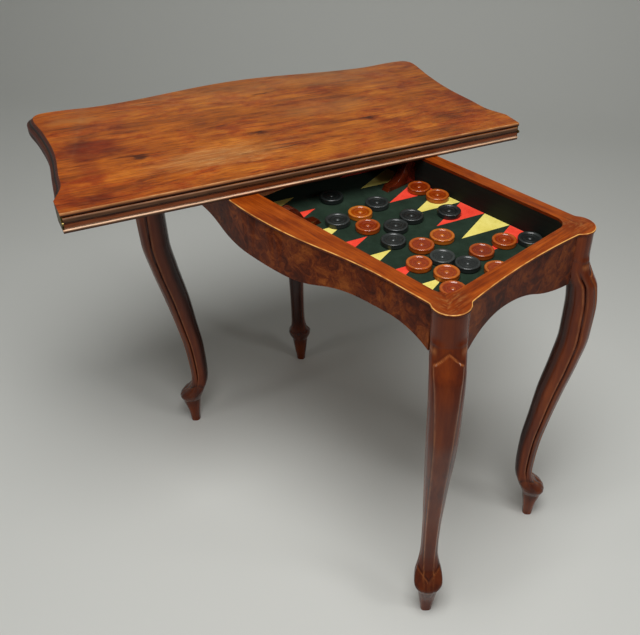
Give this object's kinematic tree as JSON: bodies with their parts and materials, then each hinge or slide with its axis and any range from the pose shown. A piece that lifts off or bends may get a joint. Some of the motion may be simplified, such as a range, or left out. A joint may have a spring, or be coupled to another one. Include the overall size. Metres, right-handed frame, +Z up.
{
  "type": "games table",
  "caption": "Turn-top games table: shaped frame on cabriole legs with a shallow backgammon tray, covered by a folding top that swivels on an upright pivot",
  "frame": {"origin": "on the floor under the middle of the frame", "axes": "+Z up, +X along the frame towards the open end of the tray, -Y the shaped front, +Y the straight back"},
  "size_m": [0.9339, 0.8907, 0.7342],
  "materials": {
    "top_wood": "satin french polish",
    "apron_burr": "satin burr veneer",
    "leg_wood": "satin french polish",
    "cap_wood": "satin french polish",
    "carcass": "plain sawn wood",
    "lining": "dark green stain",
    "baize": "felted wool",
    "red_cloth": "felted wool",
    "yellow_cloth": "felted wool",
    "brass": "aged",
    "iron": "dull",
    "light_turned_wood": "gloss varnish",
    "dark_turned_wood": "gloss black stain"
  },
  "bodies": {
    "frame": {"front_rail": "apron_burr", "back_rail": "apron_burr", "left_rail": "apron_burr", "right_rail": "apron_burr", "back_right_leg": "leg_wood", "front_right_leg": "leg_wood", "back_left_leg": "leg_wood", "front_left_leg": "leg_wood", "right_cap": "cap_wood", "left_cap": "cap_wood", "back_cap": "cap_wood", "front_cap": "cap_wood", "front_lining": "lining", "back_lining": "lining", "left_lining": "lining", "right_lining": "lining", "corner_coves": "lining", "back_bar_bracket": "leg_wood", "front_bar_bracket": "leg_wood", "glue_blocks": "carcass", "tray_floor": "carcass", "baize_floor": "baize", "red_points": "red_cloth", "yellow_points": "yellow_cloth", "floor_screws": "iron", "pivot_bridge": "carcass", "top_washer": "brass"},
    "lower_top": {"pivot_plate": "brass", "pivot_screws": "brass", "nut_washer": "brass", "pivot_nut": "brass", "stop_peg": "carcass", "lower_leaf": "top_wood", "lower_cloth": "baize", "lower_hinge_plates": "brass", "lower_hinge_screws": "brass", "hinge_pins": "brass"},
    "upper_top": {"upper_leaf": "top_wood", "upper_cloth": "baize", "upper_hinge_plates": "brass", "upper_hinge_screws": "brass"},
    "light_men": {"light_men": "light_turned_wood"},
    "dark_men": {"dark_men": "dark_turned_wood"}
  },
  "joints": [
    {"name": "top_swivel", "type": "hinge", "parent": "frame", "child": "lower_top", "pos_m": [-0.105, 0.087, 0.7005], "axis": [0, 0, 1], "range_deg": [-8.4, 107.4]},
    {"name": "leaf_fold", "type": "hinge", "parent": "lower_top", "child": "upper_top", "pos_m": [-0.03048, -0.04639, 0.71735], "axis": [0.299, 0.9542, 0], "range_deg": [0, 180]},
    {"name": "light_men_lift", "type": "slide", "parent": "frame", "child": "light_men", "axis": [0, 0, 1], "range_m": [0, 0.03]},
    {"name": "dark_men_lift", "type": "slide", "parent": "frame", "child": "dark_men", "axis": [0, 0, 1], "range_m": [0, 0.03]}
  ]
}
